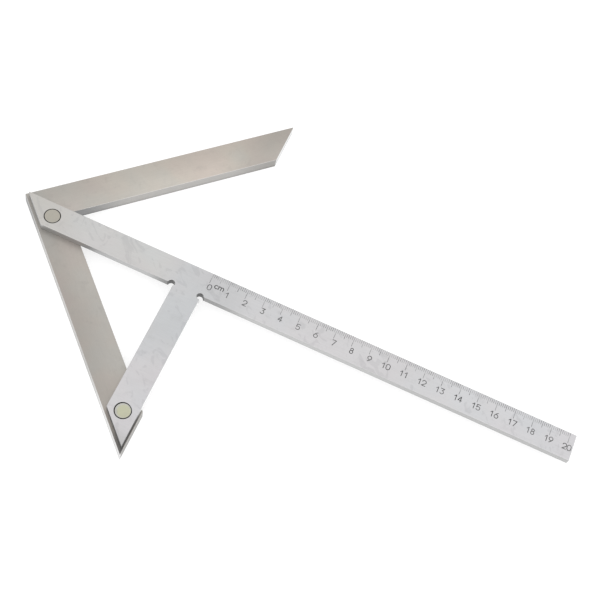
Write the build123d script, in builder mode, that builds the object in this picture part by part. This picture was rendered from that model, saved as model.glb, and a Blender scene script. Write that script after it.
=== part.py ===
from build123d import *
import os
from math import sqrt

# Centring square: a flat blade, made of a graduated ruler and a short strut in one
# piece, riveted on top of a flat 90 degree V stock. The ruler's upper edge bisects the
# V, so with the V pushed against round work that edge passes through the centre.
#
# Frame: X runs along the ruler, away from the V's apex. Y points to the free leg of
# the V, and Y = 0 is the ruler's graduated upper edge, which is the V's bisector.
# Z = 0 is the underside of the stock, and X = 0 is the middle of the overall length.

# ---- driving dimensions, millimetres ----
overall_length = 312.1      # apex of the V to the far end of the ruler

leg_reach = 109.0           # apex to the plane of the leg ends, along X
leg_width = 17.7            # across one leg of the V
stock_thickness = 6.5

blade_width = 14.8          # ruler, across
blade_thickness = 4.0
strut_width = 15.5
strut_inset = 0.9           # strut's outer face, back from the plane of the leg ends
mitre_inset = 1.55          # blade's 45 degree ends, in from the stock's outer edge

relief_radius = 1.8         # round relief in both corners of ruler and strut
inner_relief = (1.2, 0.0)   # its centre, out of the corner next to the V, in X and in Y
outer_relief = (-0.4, 0.4)  # the same, out of the other corner

shank_radius = 3.0
head_radius = 4.0
countersink_radius = 4.5    # a fine V groove is left round each rivet head
apex_rivet_x = 19.8         # apex rivet, from the apex along X
apex_rivet_y = -7.6
strut_rivet_x = 100.7       # strut rivet, from the apex along X
strut_rivet_y = -89.3

edge_break = 0.1            # chamfer on the outlines of blade and stock
rivet_edge_break = 0.1

# ---- scale, millimetres ----
scale_zero = 108.8          # zero line, from the apex along X
scale_length = 200
mark_depth = 0.1
line_width = 0.2
line_overrun = 1.0          # the cutter runs out over the ruler's edge
millimetre_line = 2.5
half_centimetre_line = 4.0
centimetre_line = 6.0

stroke_width = 0.4          # of the numerals
unit_stroke_width = 0.5     # of the "cm"
numeral_width = 2.0         # between the centres of the outer strokes
numeral_height = 3.1
numeral_pitch = 2.5
numeral_base = -9.85        # foot of the numerals, at the centre of the stroke
numeral_shift = 1.05        # single numerals stand a little after their line
pair_shift = 0.2
unit_height = 1.9           # the small "cm" between 0 and 1
unit_base = -7.45
unit_start = 3.3

# ---- derived dimensions ----
diagonal = sqrt(2)
total_height = stock_thickness + blade_thickness
apex_x = -overall_length / 2
ruler_end_x = overall_length / 2
leg_end_x = apex_x + leg_reach
inner_corner_x = apex_x + leg_width * diagonal
inner_reach = leg_end_x - inner_corner_x
mitre_x = apex_x + mitre_inset * diagonal
strut_outer_x = leg_end_x - strut_inset
strut_inner_x = strut_outer_x - strut_width
zero_x = apex_x + scale_zero

rivet_places = {
    "apex_rivet": (apex_x + apex_rivet_x, apex_rivet_y),
    "strut_rivet": (apex_x + strut_rivet_x, strut_rivet_y),
}


def mitre_y(x):
    """Y of the blade's 45 degree mitre, which runs parallel to the stock's lower leg."""
    return mitre_x - x


def ring(centre_x, centre_y, radius):
    """A circle as two halves, because a stroke needs two ends."""
    centre = (centre_x, centre_y)
    return [CenterArc(centre, radius, 0, 180), CenterArc(centre, radius, 180, 180)]


def character_lines(character):
    """Centre lines of one character, its foot on Y = 0 and its left at X = 0."""
    w = numeral_width
    h = numeral_height
    mid = w / 2
    if character == "0":
        return [
            CenterArc((mid, h - mid), mid, 0, 180),
            Line((0, h - mid), (0, mid)),
            CenterArc((mid, mid), mid, 180, 180),
            Line((w, mid), (w, h - mid)),
        ]
    if character == "1":
        return [Polyline((0.15 * w, 0.72 * h), (0.6 * w, h), (0.6 * w, 0))]
    if character == "2":
        crown = CenterArc((mid, h - mid), mid, 170, -200)
        return [crown, Polyline(crown @ 1, (0, 0), (w, 0))]
    if character == "3":
        bowl = CenterArc((mid, 0.3 * h), 0.3 * h, 90, -240)
        return [Polyline((0, h), (w, h), bowl @ 0), bowl]
    if character == "4":
        return [Polyline((0.7 * w, 0), (0.7 * w, h), (0, 0.3 * h), (w, 0.3 * h))]
    if character == "5":
        bowl = CenterArc((mid, 0.32 * h), 0.32 * h, 150, -300)
        return [bowl, Polyline((0.95 * w, h), (0.1 * w, h), bowl @ 0)]
    if character == "6":
        return [*ring(mid, mid, mid), RadiusArc((0, mid), (0.85 * w, h), 1.2 * h)]
    if character == "7":
        return [Polyline((0, h), (w, h), (0.35 * w, 0))]
    if character == "8":
        upper = 0.225 * h
        lower = 0.275 * h
        return [*ring(mid, h - upper, upper), *ring(mid, lower, lower)]
    if character == "9":
        return [*ring(mid, h - mid, mid), RadiusArc((w, h - mid), (0.15 * w, 0), 1.2 * h)]
    if character == "c":
        return [CenterArc((unit_height / 2, unit_height / 2), unit_height / 2, 50, 260)]
    # what is left is the "m": a stem and two humps, each with its own leg
    hump = 0.35 * unit_height
    shoulder = unit_height - hump
    lines = [Line((0, 0), (0, unit_height))]
    for foot in (0, 2 * hump):
        lines.append(CenterArc((foot + hump, shoulder), hump, 0, 180))
        lines.append(Line((foot + 2 * hump, shoulder), (foot + 2 * hump, 0)))
    return lines


# ---- characters of the scale, as flat strokes with round ends ----
characters = {}
for character in "0123456789cm":
    width = unit_stroke_width if character in "cm" else stroke_width
    with BuildLine():
        lines = character_lines(character)
    with BuildSketch() as glyph:
        for line in lines:
            for edge in line.edges():
                SlotArc(edge, width)
    characters[character] = glyph.sketch

# ---- v_stock: flat 90 degree V, countersunk for the rivets from below ----
with BuildPart() as v_stock:
    with BuildSketch():
        with BuildLine():
            Polyline(
                (apex_x, 0),
                (leg_end_x, leg_reach),
                (leg_end_x, inner_reach),
                (inner_corner_x, 0),
                (leg_end_x, -inner_reach),
                (leg_end_x, -leg_reach),
                close=True,
            )
        make_face()
    extrude(amount=stock_thickness)
    stock_faces = v_stock.faces().filter_by(Axis.Z)
    chamfer(stock_faces.edges(), length=edge_break)
    for x, y in rivet_places.values():
        with Locations(Plane(origin=(x, y, 0), z_dir=(0, 0, -1))):
            CounterSinkHole(
                radius=shank_radius,
                counter_sink_radius=countersink_radius,
                depth=stock_thickness,
                counter_sink_angle=90,
            )

# ---- blade: ruler and strut in one piece, lying on the stock ----
with BuildPart() as blade:
    with BuildSketch(Plane.XY.offset(stock_thickness)):
        with BuildLine():
            Polyline(
                (mitre_x, 0),
                (ruler_end_x, 0),
                (ruler_end_x, -blade_width),
                (strut_outer_x, -blade_width),
                (strut_outer_x, mitre_y(strut_outer_x)),
                (strut_inner_x, mitre_y(strut_inner_x)),
                (strut_inner_x, -blade_width),
                (mitre_x + blade_width, -blade_width),
                close=True,
            )
        make_face()
        with Locations(
            (strut_inner_x - inner_relief[0], -blade_width - inner_relief[1]),
            (strut_outer_x + outer_relief[0], -blade_width - outer_relief[1]),
        ):
            Circle(relief_radius, mode=Mode.SUBTRACT)
    extrude(amount=blade_thickness)
    blade_faces = blade.faces().filter_by(Axis.Z)
    chamfer(blade_faces.edges(), length=edge_break)
    for x, y in rivet_places.values():
        with Locations((x, y, total_height)):
            CounterSinkHole(
                radius=shank_radius,
                counter_sink_radius=countersink_radius,
                depth=blade_thickness,
                counter_sink_angle=90,
            )

    # engraved lines, one for each millimetre, from the ruler's upper edge
    with BuildSketch(Plane.XY.offset(total_height)):
        for millimetre in range(scale_length + 1):
            if millimetre % 10 == 0:
                line_length = centimetre_line
            elif millimetre % 5 == 0:
                line_length = half_centimetre_line
            else:
                line_length = millimetre_line
            with Locations((zero_x + millimetre, line_overrun)):
                Rectangle(
                    line_width,
                    line_length + line_overrun,
                    align=(Align.CENTER, Align.MAX),
                )
    extrude(amount=-mark_depth, mode=Mode.SUBTRACT)

    # engraved numerals, one for each centimetre, and the unit
    with BuildSketch(Plane.XY.offset(total_height)):
        for centimetre in range(scale_length // 10 + 1):
            numeral = str(centimetre)
            width = numeral_width + numeral_pitch * (len(numeral) - 1)
            shift = numeral_shift if len(numeral) == 1 else pair_shift
            start = zero_x + 10 * centimetre + shift - width / 2
            for place, character in enumerate(numeral):
                with Locations((start + place * numeral_pitch, numeral_base)):
                    add(characters[character])
        with Locations((zero_x + unit_start, unit_base)):
            add(characters["c"])
        with Locations((zero_x + unit_start + 1.15 * unit_height, unit_base)):
            add(characters["m"])
    extrude(amount=-mark_depth, mode=Mode.SUBTRACT)

# ---- rivets: a shank with a flush conical head at both ends ----
rivets = {}
head_depth = countersink_radius - shank_radius
land_depth = countersink_radius - head_radius
for name, (x, y) in rivet_places.items():
    with BuildPart() as rivet:
        with BuildSketch(Plane(origin=(x, y, 0), x_dir=(1, 0, 0), z_dir=(0, -1, 0))):
            with BuildLine():
                Polyline(
                    (0, 0),
                    (head_radius - rivet_edge_break, 0),
                    (head_radius, rivet_edge_break),
                    (head_radius, land_depth),
                    (shank_radius, head_depth),
                    (shank_radius, total_height - head_depth),
                    (head_radius, total_height - land_depth),
                    (head_radius, total_height - rivet_edge_break),
                    (head_radius - rivet_edge_break, total_height),
                    (0, total_height),
                    close=True,
                )
            make_face()
        revolve(axis=Axis((x, y, 0), (0, 0, 1)))
    rivets[name] = rivet.part

# ---- one file for each piece ----
pieces = {"v_stock": v_stock.part, "blade": blade.part, **rivets}
os.makedirs("parts", exist_ok=True)
for name, piece in pieces.items():
    piece.label = name
    export_step(piece, f"parts/{name}.step")
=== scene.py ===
import math
import bmesh
import bpy
from mathutils import Matrix, Vector


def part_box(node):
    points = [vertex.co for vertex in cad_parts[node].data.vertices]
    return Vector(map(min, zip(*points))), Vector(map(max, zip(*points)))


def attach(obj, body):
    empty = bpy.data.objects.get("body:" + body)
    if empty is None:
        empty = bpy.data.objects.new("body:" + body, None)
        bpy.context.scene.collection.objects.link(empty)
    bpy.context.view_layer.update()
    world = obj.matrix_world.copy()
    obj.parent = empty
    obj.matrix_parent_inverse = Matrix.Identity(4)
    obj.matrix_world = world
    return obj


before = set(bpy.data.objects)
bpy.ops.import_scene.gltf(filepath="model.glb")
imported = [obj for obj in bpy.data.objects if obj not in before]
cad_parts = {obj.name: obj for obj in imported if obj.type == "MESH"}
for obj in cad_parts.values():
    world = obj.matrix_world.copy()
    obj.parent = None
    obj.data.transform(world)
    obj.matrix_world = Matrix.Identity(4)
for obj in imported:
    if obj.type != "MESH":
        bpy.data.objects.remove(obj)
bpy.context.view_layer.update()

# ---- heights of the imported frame, in metres ----
MM = 0.001
_, blade_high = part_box("blade")
stock_low, stock_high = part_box("v_stock")
TOP = blade_high.z                     # the blade's graduated face
TABLE = stock_low.z                    # the stock's underside
ENGRAVING_DEPTH = 0.1 * MM
INK_THICKNESS = 0.06 * MM

# ---- places for the materials, in millimetres ----
APEX = stock_low.x / MM                # along X
LEG_END = stock_high.x / MM
RULER_END = blade_high.x / MM
STRUT_OUTER = LEG_END - 0.9
STRUT_INNER = STRUT_OUTER - 15.5
LEG_TIP = stock_low.y / MM             # along Y: tip of the leg under the strut
RULER_EDGE = -14.8                     # along Y: the ruler's edge without a scale
LEG_OUTER = APEX * math.sqrt(0.5)      # across the legs, as across_leg() measures it
LEG_INNER = LEG_OUTER + 17.7
RELIEFS = ((STRUT_INNER - 1.2, RULER_EDGE), (STRUT_OUTER - 0.4, RULER_EDGE - 0.4))

# ---- steel ----
BLADE_ROUGHNESS = 0.36
STOCK_ROUGHNESS = 0.46
RIVET_ROUGHNESS = 0.42
WALL_ROUGHNESS = 0.42                  # at least, on the side walls
WALL_FOOT_SHADE = (0.4, 2.2)                 # heights in mm over which the painted shade at the foot of the side walls fades out
DIRT_ROUGHNESS = 0.35                  # added to the steel's own
GRAIN_DEPTH = 0.004 * MM
DIRT = (0.022, 0.021, 0.020, 1)

# dirty rings round the rivets: inner and outer radius in mm, shift of the outer circle, which on
# the strut rivet widens the ring on one side as painted shade
APEX_DIRT = ("apex_rivet", 3.98, 4.42, (0, 0), DIRT)
# strut rivet: dirt in the joint, widened on one side by painted shade
STRUT_DIRT_AND_SHADE = ("strut_rivet", 3.92, 4.34, (-0.17, 0.11), DIRT)

# ---- camera ----
SENSOR = 36                            # millimetres
LENS = 75.4
TARGET = Vector((-1.9 * MM, 12.2 * MM, TOP - 10 * MM))
DISTANCE = 663.2 * MM
AZIMUTH = math.radians(6.31)           # from the -Y side, towards +X
ELEVATION = math.radians(60.65)
ROLL = math.radians(18.5)

# ---- light and table ----
TENT_FRONT = 1.45                      # strength of the white tent on the -Y side
TENT_BACK = 1.33
TABLE_GLOW = 0.7                       # the table is lit from below, so shadows stay faint
TABLE_SIZE = 6
TABLE_GAP = 0.02 * MM


# ---- small helpers for colours and node trees ----
def grey(value):
    return (value, value, value, 1.0)


def rgb(red, green, blue):
    return (red, green, blue, 1.0)


class Nodes:
    """Adds nodes to one material and links them."""

    def __init__(self, material):
        material.use_nodes = True
        self.tree = material.node_tree
        self.tree.nodes.clear()

    def add(self, kind, **settings):
        node = self.tree.nodes.new(kind)
        for name, value in settings.items():
            setattr(node, name, value)
        return node

    def link(self, source, target):
        self.tree.links.new(source, target)

    def put(self, value, socket):
        """Link value if it is a socket, or else set it as the socket's own number."""
        if isinstance(value, bpy.types.NodeSocket):
            self.link(value, socket)
        else:
            socket.default_value = value

    def math(self, operation, a, b=0.0, clamp=False):
        node = self.add("ShaderNodeMath", operation=operation, use_clamp=clamp)
        self.put(a, node.inputs[0])
        self.put(b, node.inputs[1])
        return node.outputs[0]

    def times(self, a, b):
        return self.math("MULTIPLY", a, b)

    def ramp(self, value, low, high, out_low=0.0, out_high=1.0):
        """Map value from low..high to out_low..out_high, smoothly and clamped."""
        node = self.add("ShaderNodeMapRange", interpolation_type="SMOOTHSTEP")
        for item, socket in zip((value, low, high, out_low, out_high), node.inputs):
            self.put(item, socket)
        return node.outputs[0]

    def mix(self, factor, a, b, blend="MIX"):
        node = self.add("ShaderNodeMix", data_type="RGBA", blend_type=blend)
        self.put(factor, node.inputs["Factor"])
        for value, name in ((a, "A"), (b, "B")):
            sockets = [s for s in node.inputs if s.name == name and s.type == "RGBA"]
            self.put(value, sockets[0])
        return [s for s in node.outputs if s.type == "RGBA"][0]

    def blend(self, value, low, high, before, after):
        """One colour where value is under low, the other where it is over high."""
        return self.mix(self.ramp(value, low, high), before, after)

    def noise(self, vector, scale, detail=2.0, roughness=0.5, distortion=0.0):
        node = self.add("ShaderNodeTexNoise")
        self.link(vector, node.inputs["Vector"])
        node.inputs["Scale"].default_value = scale
        node.inputs["Detail"].default_value = detail
        node.inputs["Roughness"].default_value = roughness
        node.inputs["Distortion"].default_value = distortion
        return node.outputs["Fac"]

    def combine(self, x, y, z):
        node = self.add("ShaderNodeCombineXYZ")
        for value, socket in zip((x, y, z), node.inputs):
            self.put(value, socket)
        return node.outputs[0]

    def separate(self, vector):
        node = self.add("ShaderNodeSeparateXYZ")
        self.link(vector, node.inputs[0])
        return node.outputs

    def coordinates(self):
        """Object coordinates, in metres: the frame's own."""
        return self.add("ShaderNodeTexCoord").outputs["Object"]

    def distance(self, x, y, point):
        """Distance in the XY plane from a point (x, y)."""
        node = self.add("ShaderNodeVectorMath", operation="DISTANCE")
        self.link(self.combine(x, y, 0.0), node.inputs[0])
        node.inputs[1].default_value = (*point, 0)
        return node.outputs["Value"]

    def output(self, shader):
        node = self.add("ShaderNodeOutputMaterial")
        self.link(shader.outputs[0], node.inputs["Surface"])


def across_leg(n, x, side):
    """Place across either leg of the V, growing inwards; side is the absolute Y."""
    return n.times(n.math("SUBTRACT", x, side), math.sqrt(0.5))


def past_circle(n, x, y, rivet, radius, shift=(0, 0)):
    """Distance in mm from a rivet's axis, less radius; shift moves the centre."""
    low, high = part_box(rivet)
    middle = (low + high) / 2 / MM
    away = n.distance(x, y, (middle.x + shift[0], middle.y + shift[1]))
    return n.math("SUBTRACT", away, radius)


def ring(n, x, y, rivet, inner, outer, shift):
    """1 between two circles round a rivet; shift moves the outer one."""
    softness = 0.08
    past_inner = n.ramp(past_circle(n, x, y, rivet, inner), -softness, softness)
    past_outer = past_circle(n, x, y, rivet, outer, shift)
    return n.times(past_inner, n.ramp(past_outer, -softness, softness, 1.0, 0.0))


# ---- tones of each piece, from x and y in mm ----
def blade_face(n, x, y):
    """The face's tone, with painted reflection and shade: warm and darker at the V, bluish at the
    strut, dull at its tip, lighter to the free end.
    """
    tone = n.blend(x, APEX + 6, APEX + 46, rgb(0.445, 0.430, 0.405), rgb(0.475, 0.470, 0.463))
    tone = n.blend(x, STRUT_INNER - 11.5, STRUT_INNER + 3.5, tone, rgb(0.462, 0.464, 0.470))
    tone = n.blend(x, STRUT_OUTER + 12, STRUT_OUTER + 28, tone, rgb(0.508, 0.502, 0.508))
    tone = n.blend(x, RULER_END - 96, RULER_END - 1, tone, rgb(0.530, 0.526, 0.538))
    tone = n.blend(y, LEG_TIP + 43, LEG_TIP + 69, rgb(0.500, 0.490, 0.498), tone)
    return n.blend(y, LEG_TIP + 3, LEG_TIP + 13, rgb(0.415, 0.410, 0.405), tone)


def blade_wall(n, x, y, facing_x):
    """Side walls, with painted reflection and shade: tones that change along the walls, a painted
    highlight where they face +X, and painted shade in and beside the reliefs and at the tip.
    """
    by_scale = n.blend(x, STRUT_OUTER + 8, STRUT_OUTER + 28, grey(0.34), grey(0.51))
    by_scale = n.blend(x, RULER_END - 116, RULER_END - 81, by_scale, grey(0.47))
    by_v = n.blend(x, STRUT_INNER - 16, STRUT_INNER - 2, grey(0.50), grey(0.28))
    wall = n.blend(x, STRUT_INNER, STRUT_OUTER, by_v, by_scale)
    # painted highlight on the walls that face +X
    wall = n.mix(facing_x, wall, grey(0.92))
    # painted shade on the walls at the strut's tip
    wall = n.blend(y, LEG_TIP + 16, LEG_TIP + 29, grey(0.16), wall)
    # painted shade in and beside the reliefs
    for middle in RELIEFS:
        wall = n.blend(n.distance(x, y, middle), 2.0, 2.5, grey(0.15), wall)
    return wall


def stock_face(n, x, y):
    """Tones of the two legs, with painted reflection and shade: the free one lighter and warmer,
    both dull at the ends, each darker towards its outer edge.
    """
    side = n.math("ABSOLUTE", y)
    free_leg = n.blend(side, 5, 42, rgb(0.372, 0.352, 0.322), rgb(0.450, 0.411, 0.366))
    legs = n.blend(y, -6, 6, rgb(0.356, 0.331, 0.303), free_leg)
    near_end = n.ramp(x, LEG_END - 27, LEG_END - 5, 0.0, 0.9)
    legs = n.mix(near_end, legs, rgb(0.344, 0.320, 0.291))
    # painted shade: each leg is darker towards its outer edge and lighter inwards
    across = across_leg(n, x, side)
    inward = n.ramp(across, LEG_OUTER + 0.35, LEG_INNER - 0.35, 0.93, 1.10)
    legs = n.mix(1.0, legs, n.combine(inward, inward, inward), "MULTIPLY")

    # painted shade: dark lines where the stock shows past the strut's tip, on both sides of it
    seam_shade = n.times(n.ramp(x, STRUT_OUTER - 0.4, STRUT_OUTER - 0.2),
                   n.ramp(x, STRUT_OUTER + 0.2, STRUT_OUTER + 0.7, 1.0, 0.0))
    seam_shade = n.times(seam_shade, n.ramp(y, LEG_TIP + 19, LEG_TIP + 29, 1.0, 0.0))
    legs = n.mix(n.times(seam_shade, 0.8), legs, grey(0.08))
    # painted shade on the narrow outer ledge of the leg, near its tip under the strut
    ledge_shade = n.times(n.ramp(across, LEG_OUTER + 1.95, LEG_OUTER + 2.75, 1.0, 0.0),
                    n.ramp(y, LEG_TIP + 4, LEG_TIP + 13, 1.0, 0.0))
    return n.mix(n.times(ledge_shade, 0.65), legs, grey(0.10))


def stock_wall(n, x, y, facing_x):
    """Side walls of the legs, with painted shade near the apex and the ends, a painted glare on
    the lower leg's outer wall towards its end, and a painted highlight on the free leg's walls
    that face +X, such as its end.
    """
    side = n.math("ABSOLUTE", y)
    middle = n.blend(y, -10, 10, rgb(0.510, 0.500, 0.490), rgb(0.455, 0.443, 0.428))
    # painted shade near the apex and at the ends of the legs
    wall = n.blend(side, 5, 25, grey(0.30), middle)
    wall = n.blend(side, 62, 85, wall, rgb(0.350, 0.340, 0.325))
    # painted reflection: glare on the lower leg's outer wall towards its end
    on_outer = n.ramp(across_leg(n, x, side), LEG_OUTER + 0.45, LEG_OUTER + 1.15, 1.0, 0.0)
    glare = n.times(on_outer, n.ramp(y, LEG_TIP + 17, LEG_TIP + 43, 1.0, 0.0))
    wall = n.mix(n.times(glare, 0.75), wall, grey(0.78))
    # painted highlight on the free leg's walls that face +X
    return n.mix(n.times(facing_x, n.ramp(y, -20, 20)), wall, grey(0.72))


def plain_tone(colour):
    """A tone that is the same all over."""
    def tone(n, *place):
        return colour
    return tone


def brass_face(n, x, y):
    """Pale brass, with a grey crescent at the rim towards the V."""
    past_core = past_circle(n, x, y, "strut_rivet", 3.35, (0.5, -0.15))
    return n.blend(past_core, -0.3, 0.3, rgb(0.44, 0.44, 0.325), rgb(0.43, 0.425, 0.39))


# ---- materials ----
def steel(name, face_tone, wall_tone, roughness, smears=0.14, tinge=0.35, polish_and_glint=0.15,
          along_legs=False, rings=()):
    """Ground steel.

    face_tone and wall_tone give the colour of the flat faces and of the side walls,
    with painted reflection and shade in it, from the coordinates x, y in mm; wall_tone
    is also told which walls face +X. Fine grain runs along each bar. Clouds, stains,
    smears and a faint red or blue tinge vary it, edges are lighter, partly polished by
    use and partly a painted highlight, and each ring is (rivet, inner radius, outer
    radius, shift, colour), such as the dirt in the groove round a rivet.
    """
    material = bpy.data.materials.new(name)
    n = Nodes(material)
    x, y, z = (n.times(axis, 1 / MM) for axis in n.separate(n.coordinates()))
    along, across = x, y
    if along_legs:
        side = n.math("ABSOLUTE", y)
        along = n.times(n.math("ADD", x, side), math.sqrt(0.5))
        across = across_leg(n, x, side)
    place = n.combine(x, y, z)
    skewed = n.combine(n.math("ADD", x, y), n.times(n.math("SUBTRACT", y, x), 0.5), z)

    streaks = n.noise(n.combine(n.times(along, 0.03), across, z), 5.0, 4.0, 0.7)
    hair = n.noise(n.combine(n.times(along, 0.02), across, z), 22.0, 2.0, 0.6)
    cloud = n.noise(place, 0.035, 3.0, 0.55)
    tint = n.noise(place, 0.055, 1.0, 0.5)
    blotch = n.noise(place, 0.16, 4.0, 0.6, 0.4)
    smear = n.noise(skewed, 0.13, 2.0, 0.5, 1.5)

    tone = face_tone(n, x, y)
    tone = n.mix(n.ramp(tint, 0.45, 0.7, 0.0, tinge), tone, rgb(1.0, 0.97, 0.98), "MULTIPLY")
    tone = n.mix(n.ramp(tint, 0.3, 0.55, tinge, 0.0), tone, rgb(0.96, 1.0, 1.02), "MULTIPLY")
    tone = n.mix(n.ramp(cloud, 0.3, 0.7, 0.10, 0.0), tone, grey(0.5), "MULTIPLY")
    tone = n.mix(n.ramp(streaks, 0.3, 0.7, 0.0, 0.12), tone, grey(0.22))
    tone = n.mix(n.ramp(blotch, 0.55, 0.75, 0.0, 0.12), tone, grey(0.26))
    tone = n.mix(n.ramp(smear, 0.57, 0.63, 0.0, smears), tone, rgb(0.20, 0.20, 0.215))

    # flat faces, side walls and, between the two, the broken edges
    normal = n.separate(n.add("ShaderNodeNewGeometry").outputs["Normal"])
    tilt = n.math("ABSOLUTE", normal[2])
    off_wall = n.ramp(tilt, 0.45, 0.65)
    on_face = n.ramp(tilt, 0.78, 0.95)
    edge = n.math("SUBTRACT", off_wall, on_face, clamp=True)
    wall = wall_tone(n, x, y, n.ramp(normal[0], 0.75, 0.95))
    # painted shade: the side walls darken towards their foot
    wall = n.mix(n.ramp(z, *WALL_FOOT_SHADE, 0.25, 0.0), wall, grey(0.1))
    tone = n.mix(off_wall, wall, tone)
    # painted highlight, partly polish by use: the broken edges are lighter
    tone = n.mix(n.times(edge, polish_and_glint), tone, grey(0.75))

    rough = n.math("ADD", n.ramp(hair, 0.3, 0.7, roughness - 0.05, roughness + 0.05),
                   n.ramp(blotch, 0.5, 0.75, 0.0, 0.08))
    wall_rough = n.times(n.math("SUBTRACT", 1.0, off_wall), WALL_ROUGHNESS)
    rough = n.math("MAXIMUM", rough, wall_rough)
    for rivet, inner, outer, shift, colour in rings:
        mask = ring(n, x, y, rivet, inner, outer, shift)
        tone = n.mix(mask, tone, colour)
        rough = n.math("ADD", rough, n.times(mask, DIRT_ROUGHNESS), clamp=True)

    bump = n.add("ShaderNodeBump")
    bump.inputs["Strength"].default_value = 0.5
    bump.inputs["Distance"].default_value = GRAIN_DEPTH
    n.link(hair, bump.inputs["Height"])

    shader = n.add("ShaderNodeBsdfPrincipled")
    shader.inputs["Metallic"].default_value = 1.0
    n.link(tone, shader.inputs["Base Color"])
    n.link(rough, shader.inputs["Roughness"])
    n.link(bump.outputs[0], shader.inputs["Normal"])
    n.output(shader)
    return material


def ink():
    """Matt dark filling of the engraved scale, uneven and worn near the ruler's edge."""
    material = bpy.data.materials.new("scale_ink")
    n = Nodes(material)
    place = n.coordinates()
    speckle = n.noise(place, 900.0, 3.0, 0.6)
    patches = n.noise(place, 260.0, 2.0, 0.5)
    tone = n.blend(speckle, 0.35, 0.7, grey(0.02), grey(0.06))
    by_edge = n.ramp(n.separate(place)[1], -6 * MM, -1 * MM, 0.25, 1.0)
    worn = n.times(n.ramp(patches, 0.38, 0.62, 0.0, 0.8), by_edge)
    tone = n.mix(worn, tone, grey(0.34))
    shader = n.add("ShaderNodeBsdfPrincipled")
    shader.inputs["Specular IOR Level"].default_value = 0.3
    n.link(tone, shader.inputs["Base Color"])
    n.link(n.ramp(speckle, 0.3, 0.7, 0.55, 0.75), shader.inputs["Roughness"])
    n.output(shader)
    return material


# ---- pieces ----
def dress(node, material):
    """Give a CAD node its material in every slot."""
    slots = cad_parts[node].data.materials
    slots.clear()
    slots.append(material)


def add_scale_ink(material):
    """Fill the engraved grooves: a thin slab on each groove floor, below the blade's face."""
    groove_floor = TOP - ENGRAVING_DEPTH
    slack = 0.2 * ENGRAVING_DEPTH
    fill = bmesh.new()
    fill.from_mesh(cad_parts["blade"].data)
    rest = [
        face for face in fill.faces
        if face.normal.z < 0.99 or abs(face.calc_center_median().z - groove_floor) > slack
    ]
    bmesh.ops.delete(fill, geom=rest, context="FACES")
    bmesh.ops.remove_doubles(fill, verts=fill.verts, dist=0.001 * MM)
    grown = bmesh.ops.extrude_face_region(fill, geom=fill.faces[:])
    raised = [item for item in grown["geom"] if isinstance(item, bmesh.types.BMVert)]
    bmesh.ops.translate(fill, verts=raised, vec=(0, 0, INK_THICKNESS))
    bmesh.ops.recalc_face_normals(fill, faces=fill.faces[:])
    mesh = bpy.data.meshes.new("scale_ink")
    fill.to_mesh(mesh)
    fill.free()
    mesh.materials.append(material)
    piece = bpy.data.objects.new("scale_ink", mesh)
    bpy.context.scene.collection.objects.link(piece)
    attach(piece, "root")


# ---- studio ----
def add_floor():
    """A plain white table, under the stock."""
    material = bpy.data.materials.new("floor_white")
    n = Nodes(material)
    shader = n.add("ShaderNodeBsdfPrincipled")
    shader.inputs["Base Color"].default_value = grey(0.35)
    shader.inputs["Roughness"].default_value = 0.8
    shader.inputs["Specular IOR Level"].default_value = 0.1
    shader.inputs["Emission Color"].default_value = grey(1.0)
    shader.inputs["Emission Strength"].default_value = TABLE_GLOW
    n.output(shader)
    bpy.ops.mesh.primitive_plane_add(size=TABLE_SIZE, location=(0, 0, TABLE - TABLE_GAP))
    floor = bpy.context.object
    floor.name = "floor"
    floor.data.materials.append(material)


def add_tent():
    """A white world whose strength changes from the front to the back."""
    world = bpy.data.worlds.new("studio")
    world.use_nodes = True
    tree = world.node_tree
    background = tree.nodes["Background"]
    background.inputs["Color"].default_value = grey(1.0)
    generated = tree.nodes.new("ShaderNodeTexCoord").outputs["Generated"]
    direction = tree.nodes.new("ShaderNodeSeparateXYZ")
    tree.links.new(generated, direction.inputs[0])
    strength = tree.nodes.new("ShaderNodeMapRange")
    for value, socket in zip((-1, 1, TENT_FRONT, TENT_BACK), strength.inputs[1:5]):
        socket.default_value = value
    tree.links.new(direction.outputs["Y"], strength.inputs[0])
    tree.links.new(strength.outputs[0], background.inputs["Strength"])
    bpy.context.scene.world = world


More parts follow.
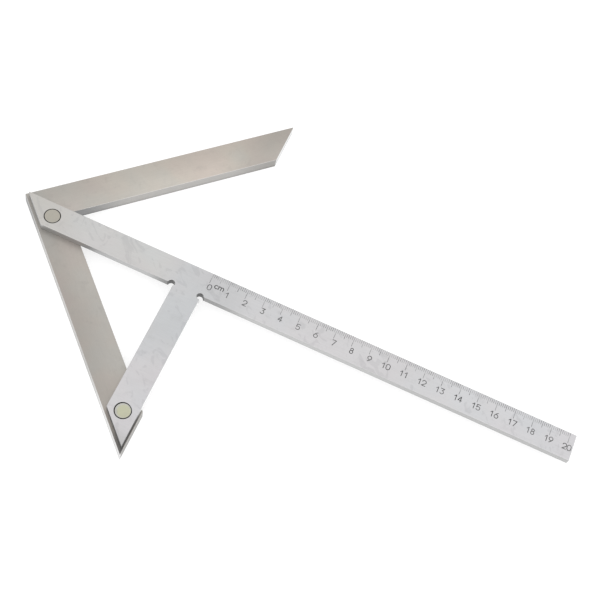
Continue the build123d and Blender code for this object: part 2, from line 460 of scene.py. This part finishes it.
def add_strip():
    """One low strip light in front, which glints along the edges."""
    data = bpy.data.lights.new("front_strip", "AREA")
    data.shape = "RECTANGLE"
    data.size, data.size_y = 1.4, 0.3
    data.energy = 1.6
    light = bpy.data.objects.new("front_strip", data)
    light.location = (1.0, -1.2, 0.75)
    light.rotation_euler = (TARGET - light.location).to_track_quat("-Z", "Y").to_euler()
    bpy.context.scene.collection.objects.link(light)


def add_camera():
    """A camera at DISTANCE from TARGET, rolled about its own axis."""
    flat = math.cos(ELEVATION)
    back = Vector((math.sin(AZIMUTH) * flat, -math.cos(AZIMUTH) * flat, math.sin(ELEVATION)))
    level = Vector((math.cos(AZIMUTH), math.sin(AZIMUTH), 0))
    right = Matrix.Rotation(ROLL, 3, back) @ level
    up = back.cross(right)
    turn = Matrix((right, up, back)).transposed()
    data = bpy.data.cameras.new("camera")
    data.sensor_width = SENSOR
    data.lens = LENS
    data.clip_start = 0.01
    data.clip_end = 10
    camera = bpy.data.objects.new("camera", data)
    camera.matrix_world = Matrix.Translation(TARGET + DISTANCE * back) @ turn.to_4x4()
    bpy.context.scene.collection.objects.link(camera)
    bpy.context.scene.camera = camera


blade_steel = steel("blade_steel", blade_face, blade_wall, BLADE_ROUGHNESS,
                    rings=(APEX_DIRT, STRUT_DIRT_AND_SHADE))
stock_steel = steel("stock_steel", stock_face, stock_wall, STOCK_ROUGHNESS,
                    smears=0.04, tinge=0.8, polish_and_glint=0.5, along_legs=True)
rivet_wall = plain_tone(grey(0.3))
rivet_steel = steel("rivet_steel", plain_tone(rgb(0.355, 0.337, 0.292)), rivet_wall,
                    RIVET_ROUGHNESS, rings=(APEX_DIRT,))
rivet_brass = steel("rivet_brass", brass_face, rivet_wall, RIVET_ROUGHNESS,
                    rings=(STRUT_DIRT_AND_SHADE,))

dress("blade", blade_steel)
dress("v_stock", stock_steel)
dress("apex_rivet", rivet_steel)
dress("strut_rivet", rivet_brass)
add_scale_ink(ink())

add_floor()
add_tent()
add_strip()
add_camera()
bpy.context.scene.view_settings.view_transform = "Standard"
